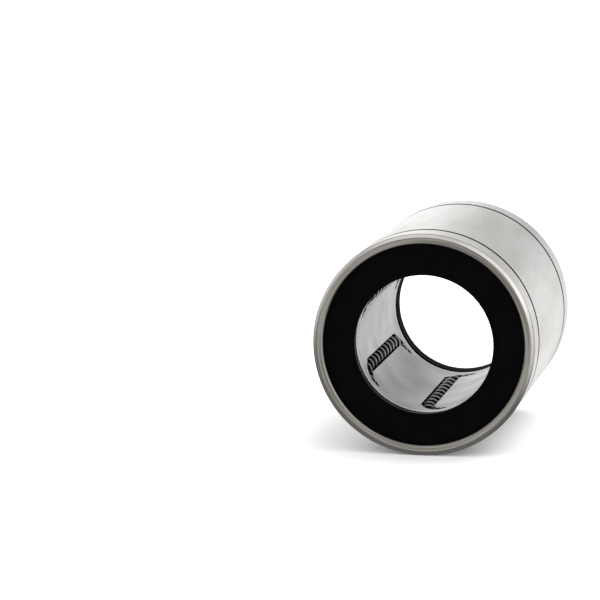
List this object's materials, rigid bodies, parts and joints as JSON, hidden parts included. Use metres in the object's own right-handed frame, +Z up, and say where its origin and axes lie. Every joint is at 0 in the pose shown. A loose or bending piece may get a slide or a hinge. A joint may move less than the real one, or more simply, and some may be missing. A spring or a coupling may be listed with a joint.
{
  "type": "linear ball bushing",
  "caption": "Closed linear ball bushing: a ground steel sleeve with recirculating balls in a slotted retainer and a rubber seal at each end, which guides a round shaft.",
  "frame": {"origin": "middle of the bore, half way along the bushing", "axes": "+Y along the bore from the front end to the rear end, +Z up; the bushing lies on its side with its lowest line at z = -25.4 mm"},
  "size_m": [0.0508, 0.0666, 0.0508],
  "materials": {
    "sleeve_steel": "ground",
    "retainer_steel": "satin",
    "ball_steel": "polished",
    "seal_rubber": "satin moulded",
    "core_steel": "pressed",
    "spring_steel": "oiled",
    "black_steel": "black oxide"
  },
  "bodies": {
    "shell": {"outer_sleeve": "sleeve_steel", "ball_retainer": "retainer_steel", "front_end_ring": "black_steel", "front_retaining_ring": "spring_steel", "front_seal_core": "core_steel", "front_seal": "seal_rubber", "rear_end_ring": "black_steel", "rear_retaining_ring": "spring_steel", "rear_seal_core": "core_steel", "rear_seal": "seal_rubber"},
    "loaded_row_1": {"loaded_row_1": "ball_steel"},
    "return_row_1": {"return_row_1": "ball_steel"},
    "front_turn_1": {"front_turn_1": "ball_steel"},
    "rear_turn_1": {"rear_turn_1": "ball_steel"},
    "loaded_row_2": {"loaded_row_2": "ball_steel"},
    "return_row_2": {"return_row_2": "ball_steel"},
    "front_turn_2": {"front_turn_2": "ball_steel"},
    "rear_turn_2": {"rear_turn_2": "ball_steel"},
    "loaded_row_3": {"loaded_row_3": "ball_steel"},
    "return_row_3": {"return_row_3": "ball_steel"},
    "front_turn_3": {"front_turn_3": "ball_steel"},
    "rear_turn_3": {"rear_turn_3": "ball_steel"},
    "loaded_row_4": {"loaded_row_4": "ball_steel"},
    "return_row_4": {"return_row_4": "ball_steel"},
    "front_turn_4": {"front_turn_4": "ball_steel"},
    "rear_turn_4": {"rear_turn_4": "ball_steel"},
    "loaded_row_5": {"loaded_row_5": "ball_steel"},
    "return_row_5": {"return_row_5": "ball_steel"},
    "front_turn_5": {"front_turn_5": "ball_steel"},
    "rear_turn_5": {"rear_turn_5": "ball_steel"},
    "loaded_row_6": {"loaded_row_6": "ball_steel"},
    "return_row_6": {"return_row_6": "ball_steel"},
    "front_turn_6": {"front_turn_6": "ball_steel"},
    "rear_turn_6": {"rear_turn_6": "ball_steel"}
  },
  "joints": [
    {"name": "loaded_row_1_roll", "type": "slide", "parent": "shell", "child": "loaded_row_1", "axis": [0, 1, 0], "range_m": [-0.00205, 0.00205]},
    {"name": "return_row_1_roll", "type": "slide", "parent": "shell", "child": "return_row_1", "axis": [0, -1, 0], "range_m": [-0.00205, 0.00205]},
    {"name": "front_turn_1_roll", "type": "hinge", "parent": "shell", "child": "front_turn_1", "pos_m": [0.01336, -0.01845, 0.01248], "axis": [0.8644, 0, 0.5027], "range_deg": [-22.53, 22.53]},
    {"name": "rear_turn_1_roll", "type": "hinge", "parent": "shell", "child": "rear_turn_1", "pos_m": [0.01336, 0.01845, 0.01248], "axis": [0.8644, 0, 0.5027], "range_deg": [-22.53, 22.53]},
    {"name": "loaded_row_2_roll", "type": "slide", "parent": "shell", "child": "loaded_row_2", "axis": [0, 1, 0], "range_m": [-0.00205, 0.00205]},
    {"name": "return_row_2_roll", "type": "slide", "parent": "shell", "child": "return_row_2", "axis": [0, -1, 0], "range_m": [-0.00205, 0.00205]},
    {"name": "front_turn_2_roll", "type": "hinge", "parent": "shell", "child": "front_turn_2", "pos_m": [-0.00413, -0.01845, 0.01781], "axis": [-0.0032, 0, 1], "range_deg": [-22.53, 22.53]},
    {"name": "rear_turn_2_roll", "type": "hinge", "parent": "shell", "child": "rear_turn_2", "pos_m": [-0.00413, 0.01845, 0.01781], "axis": [-0.0032, 0, 1], "range_deg": [-22.53, 22.53]},
    {"name": "loaded_row_3_roll", "type": "slide", "parent": "shell", "child": "loaded_row_3", "axis": [0, 1, 0], "range_m": [-0.00205, 0.00205]},
    {"name": "return_row_3_roll", "type": "slide", "parent": "shell", "child": "return_row_3", "axis": [0, -1, 0], "range_m": [-0.00205, 0.00205]},
    {"name": "front_turn_3_roll", "type": "hinge", "parent": "shell", "child": "front_turn_3", "pos_m": [-0.01749, -0.01845, 0.00533], "axis": [-0.8676, 0, 0.4973], "range_deg": [-22.53, 22.53]},
    {"name": "rear_turn_3_roll", "type": "hinge", "parent": "shell", "child": "rear_turn_3", "pos_m": [-0.01749, 0.01845, 0.00533], "axis": [-0.8676, 0, 0.4973], "range_deg": [-22.53, 22.53]},
    {"name": "loaded_row_4_roll", "type": "slide", "parent": "shell", "child": "loaded_row_4", "axis": [0, 1, 0], "range_m": [-0.00205, 0.00205]},
    {"name": "return_row_4_roll", "type": "slide", "parent": "shell", "child": "return_row_4", "axis": [0, -1, 0], "range_m": [-0.00205, 0.00205]},
    {"name": "front_turn_4_roll", "type": "hinge", "parent": "shell", "child": "front_turn_4", "pos_m": [-0.01336, -0.01845, -0.01248], "axis": [-0.8644, 0, -0.5027], "range_deg": [-22.53, 22.53]},
    {"name": "rear_turn_4_roll", "type": "hinge", "parent": "shell", "child": "rear_turn_4", "pos_m": [-0.01336, 0.01845, -0.01248], "axis": [-0.8644, 0, -0.5027], "range_deg": [-22.53, 22.53]},
    {"name": "loaded_row_5_roll", "type": "slide", "parent": "shell", "child": "loaded_row_5", "axis": [0, 1, 0], "range_m": [-0.00205, 0.00205]},
    {"name": "return_row_5_roll", "type": "slide", "parent": "shell", "child": "return_row_5", "axis": [0, -1, 0], "range_m": [-0.00205, 0.00205]},
    {"name": "front_turn_5_roll", "type": "hinge", "parent": "shell", "child": "front_turn_5", "pos_m": [0.00413, -0.01845, -0.01781], "axis": [0.0032, 0, -1], "range_deg": [-22.53, 22.53]},
    {"name": "rear_turn_5_roll", "type": "hinge", "parent": "shell", "child": "rear_turn_5", "pos_m": [0.00413, 0.01845, -0.01781], "axis": [0.0032, 0, -1], "range_deg": [-22.53, 22.53]},
    {"name": "loaded_row_6_roll", "type": "slide", "parent": "shell", "child": "loaded_row_6", "axis": [0, 1, 0], "range_m": [-0.00205, 0.00205]},
    {"name": "return_row_6_roll", "type": "slide", "parent": "shell", "child": "return_row_6", "axis": [0, -1, 0], "range_m": [-0.00205, 0.00205]},
    {"name": "front_turn_6_roll", "type": "hinge", "parent": "shell", "child": "front_turn_6", "pos_m": [0.01749, -0.01845, -0.00533], "axis": [0.8676, 0, -0.4973], "range_deg": [-22.53, 22.53]},
    {"name": "rear_turn_6_roll", "type": "hinge", "parent": "shell", "child": "rear_turn_6", "pos_m": [0.01749, 0.01845, -0.00533], "axis": [0.8676, 0, -0.4973], "range_deg": [-22.53, 22.53]}
  ],
  "couplings": [
    {"joint": "return_row_1_roll", "follows": "loaded_row_1_roll", "ratio": 1},
    {"joint": "front_turn_1_roll", "follows": "loaded_row_1_roll", "rad_per_m": 191.57},
    {"joint": "rear_turn_1_roll", "follows": "loaded_row_1_roll", "rad_per_m": 191.57},
    {"joint": "return_row_2_roll", "follows": "loaded_row_2_roll", "ratio": 1},
    {"joint": "front_turn_2_roll", "follows": "loaded_row_2_roll", "rad_per_m": 191.57},
    {"joint": "rear_turn_2_roll", "follows": "loaded_row_2_roll", "rad_per_m": 191.57},
    {"joint": "return_row_3_roll", "follows": "loaded_row_3_roll", "ratio": 1},
    {"joint": "front_turn_3_roll", "follows": "loaded_row_3_roll", "rad_per_m": 191.57},
    {"joint": "rear_turn_3_roll", "follows": "loaded_row_3_roll", "rad_per_m": 191.57},
    {"joint": "return_row_4_roll", "follows": "loaded_row_4_roll", "ratio": 1},
    {"joint": "front_turn_4_roll", "follows": "loaded_row_4_roll", "rad_per_m": 191.57},
    {"joint": "rear_turn_4_roll", "follows": "loaded_row_4_roll", "rad_per_m": 191.57},
    {"joint": "return_row_5_roll", "follows": "loaded_row_5_roll", "ratio": 1},
    {"joint": "front_turn_5_roll", "follows": "loaded_row_5_roll", "rad_per_m": 191.57},
    {"joint": "rear_turn_5_roll", "follows": "loaded_row_5_roll", "rad_per_m": 191.57},
    {"joint": "return_row_6_roll", "follows": "loaded_row_6_roll", "ratio": 1},
    {"joint": "front_turn_6_roll", "follows": "loaded_row_6_roll", "rad_per_m": 191.57},
    {"joint": "rear_turn_6_roll", "follows": "loaded_row_6_roll", "rad_per_m": 191.57}
  ]
}
